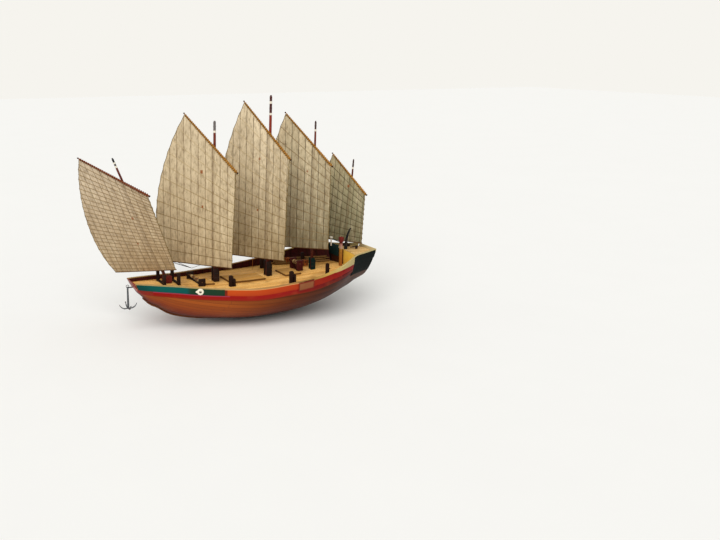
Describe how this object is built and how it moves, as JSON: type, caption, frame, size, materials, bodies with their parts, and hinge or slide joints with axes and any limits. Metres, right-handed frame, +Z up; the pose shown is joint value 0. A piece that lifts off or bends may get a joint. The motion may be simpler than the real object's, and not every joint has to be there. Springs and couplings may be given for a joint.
{
  "type": "model of a five-masted chinese junk ship",
  "caption": "Wooden display model of a big ocean-going junk with battened lug sails that swing about their masts, a hoisted rudder and turning deck windlasses.",
  "frame": {"origin": "on the centreline amidships, at the waterline", "axes": "+X to the bow, +Y to port, +Z up"},
  "size_m": [1.4884, 0.5396, 1.0769],
  "materials": {
    "hull_varnish": "varnished",
    "keel_wood": "varnished",
    "deck_wood": "satin varnish",
    "rail_wood": "satin",
    "yellow_paint": "painted",
    "maroon_paint": "painted",
    "red_paint": "painted",
    "board_wood": "painted",
    "teal_paint": "painted",
    "dark_teal_paint": "painted",
    "crimson_paint": "painted",
    "mast_paint": "painted",
    "mast_grey": "painted",
    "dark_wood": "stained",
    "drum_wood": "oiled",
    "chest_wood": "varnished",
    "yard_wood": "varnished",
    "sail_cloth": "woven",
    "iron": "blackened"
  },
  "bodies": {
    "hull": {"hull_body": "hull_varnish", "keel": "keel_wood", "main_deck": "deck_wood", "poop_deck": "deck_wood", "poop_bulkhead": "yellow_paint", "bulwark_port": "maroon_paint", "bulwark_starboard": "maroon_paint", "upper_strake_port": "red_paint", "upper_strake_starboard": "red_paint", "name_board_port": "board_wood", "name_board_starboard": "board_wood", "bow_panel_port": "teal_paint", "bow_panel_starboard": "teal_paint", "wale_port": "crimson_paint", "wale_starboard": "crimson_paint", "cap_rail_port": "rail_wood", "cap_rail_starboard": "rail_wood", "quarter_panel_port": "dark_teal_paint", "quarter_panel_starboard": "dark_teal_paint", "bow_transom": "maroon_paint", "stern_transom": "dark_teal_paint", "poop_screen": "dark_teal_paint", "mast_1": "mast_paint", "mast_2": "mast_grey", "mast_3": "mast_paint", "mast_4": "mast_paint", "mast_5": "mast_paint", "tabernacle_1": "red_paint", "tabernacle_2": "dark_wood", "tabernacle_3": "dark_wood", "tabernacle_4": "dark_teal_paint", "tabernacle_5": "dark_wood", "gallows_fore": "dark_wood", "gallows_aft": "dark_wood", "windlass_frame_fore": "dark_wood", "windlass_frame_main": "maroon_paint", "chest_port": "chest_wood", "chest_starboard": "chest_wood", "poop_post": "maroon_paint", "poop_crutch": "iron", "anchor": "iron"},
    "rig_1": {"sail_1": "sail_cloth", "yard_1": "yard_wood", "parrel_1": "dark_wood"},
    "rig_2": {"sail_2": "sail_cloth", "yard_2": "yard_wood", "parrel_2": "dark_wood"},
    "rig_3": {"sail_3": "sail_cloth", "yard_3": "yard_wood", "parrel_3": "dark_wood"},
    "rig_4": {"sail_4": "sail_cloth", "yard_4": "yard_wood", "parrel_4": "dark_wood"},
    "rig_5": {"sail_5": "sail_cloth", "yard_5": "yard_wood", "parrel_5": "dark_wood"},
    "rudder": {"rudder_blade": "hull_varnish", "rudder_stock": "dark_wood"},
    "drum_fore": {"windlass_drum_fore": "drum_wood"},
    "drum_main": {"windlass_drum_main": "drum_wood"}
  },
  "joints": [
    {"name": "foresail_swing", "type": "hinge", "parent": "hull", "child": "rig_1", "pos_m": [0.429, 0, 0.056], "axis": [0.3795, 0, 0.9252], "range_deg": [-35, 15]},
    {"name": "second_sail_swing", "type": "hinge", "parent": "hull", "child": "rig_2", "pos_m": [0.188, 0, 0.038], "axis": [-0.0087, 0, 1], "range_deg": [-45, 25]},
    {"name": "mainsail_swing", "type": "hinge", "parent": "hull", "child": "rig_3", "pos_m": [-0.096, 0, 0.035], "axis": [-0.0157, 0, 0.9999], "range_deg": [-45, 25]},
    {"name": "fourth_sail_swing", "type": "hinge", "parent": "hull", "child": "rig_4", "pos_m": [-0.347, 0, 0.041], "axis": [-0.0105, 0, 0.9999], "range_deg": [-45, 25]},
    {"name": "mizzen_swing", "type": "hinge", "parent": "hull", "child": "rig_5", "pos_m": [-0.59, -0.07, 0.112], "axis": [-0.068, 0, 0.9977], "range_deg": [-45, 25]},
    {"name": "rudder_turn", "type": "hinge", "parent": "hull", "child": "rudder", "pos_m": [-0.612, 0, 0.13], "axis": [-0.2425, 0, 0.9701], "range_deg": [-12, 12]},
    {"name": "fore_windlass_turn", "type": "hinge", "parent": "hull", "child": "drum_fore", "pos_m": [0.287, 0, 0.06215], "axis": [0, 1, 0], "continuous": true},
    {"name": "main_windlass_turn", "type": "hinge", "parent": "hull", "child": "drum_main", "pos_m": [-0.278, -0.036, 0.07616], "axis": [0, 1, 0], "continuous": true}
  ]
}
